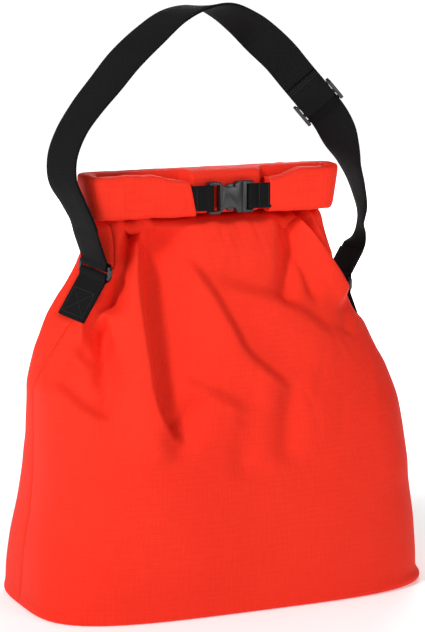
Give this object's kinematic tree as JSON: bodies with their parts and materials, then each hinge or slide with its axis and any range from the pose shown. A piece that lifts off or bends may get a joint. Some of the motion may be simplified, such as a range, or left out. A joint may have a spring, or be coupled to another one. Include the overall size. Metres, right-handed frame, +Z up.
{
  "type": "ski boot bag",
  "caption": "Roll-top ski boot bag: fabric tube on a stiff oval base, rolled mouth clipped by a side-release buckle, and an adjustable shoulder strap on side rings.",
  "frame": {"origin": "centre of the base on the ground", "axes": "+Z up through the rolled mouth, -Y out of the front, where the buckle is, +X along the roll to the side of the strap's slider"},
  "size_m": [0.421, 0.2264, 0.588],
  "materials": {
    "shell_fabric": "orange-red plain-weave polyester with a faint ripstop grid",
    "lining_fabric": "dark red binding tape",
    "stiffener": "dark board, hidden inside the fabric",
    "webbing": "black ribbed webbing",
    "moulded_plastic": "black moulded acetal, semi-gloss"
  },
  "bodies": {
    "bag": {"body_front_panel": "shell_fabric", "body_back_panel": "shell_fabric", "base_panel": "shell_fabric", "base_stiffener_board": "stiffener", "base_seam_binding": "lining_fabric", "side_tab_left": "webbing", "side_tab_right": "webbing", "side_ring_left": "moulded_plastic", "side_ring_right": "moulded_plastic", "strap_loop_left": "webbing", "strap_loop_right": "webbing"},
    "roll": {"roll_centre": "shell_fabric", "mouth_stiffener": "stiffener", "roll_flap_left": "shell_fabric", "closure_webbing_left": "webbing", "buckle_female": "moulded_plastic"},
    "right_flap": {"roll_flap_right": "shell_fabric", "closure_webbing_right": "webbing", "buckle_male": "moulded_plastic"},
    "upper_prong": {"buckle_prong_upper": "moulded_plastic"},
    "lower_prong": {"buckle_prong_lower": "moulded_plastic"},
    "strap": {"strap_outer_layer": "webbing", "strap_inner_layer": "webbing"},
    "slider": {"strap_slider": "moulded_plastic", "strap_sewn_fold": "webbing"}
  },
  "joints": [
    {"name": "roll_unfold", "type": "hinge", "parent": "bag", "child": "roll", "pos_m": [0, 0.0138, 0.4264], "axis": [-1, 0, 0], "range_deg": [0, 75]},
    {"name": "buckle_release", "type": "slide", "parent": "roll", "child": "right_flap", "axis": [1, 0, 0], "range_m": [0, 0.028], "deforming": ["buckle_prong_upper", "buckle_prong_lower"]},
    {"name": "upper_prong_squeeze", "type": "hinge", "parent": "right_flap", "child": "upper_prong", "pos_m": [0.0181, -0.027, 0.4057], "axis": [0, -1, 0], "range_deg": [0, 11], "stiffness_Nm_per_rad": 0.02},
    {"name": "lower_prong_squeeze", "type": "hinge", "parent": "right_flap", "child": "lower_prong", "pos_m": [0.0181, -0.027, 0.3913], "axis": [0, 1, 0], "range_deg": [0, 11], "stiffness_Nm_per_rad": 0.02},
    {"name": "strap_swing", "type": "hinge", "parent": "bag", "child": "strap", "pos_m": [-0.14515, -0.02549, 0.3718], "axis": [0.979, 0.1668, -0.1169], "range_deg": [-70, 70], "deforming": ["strap_loop_left", "strap_loop_right"]},
    {"name": "slider_slide", "type": "slide", "parent": "strap", "child": "slider", "axis": [-0.6808, -0.0501, 0.7308], "range_m": [0, 0.024]}
  ],
  "couplings": [
    {"joint": "lower_prong_squeeze", "follows": "upper_prong_squeeze", "ratio": 1}
  ]
}
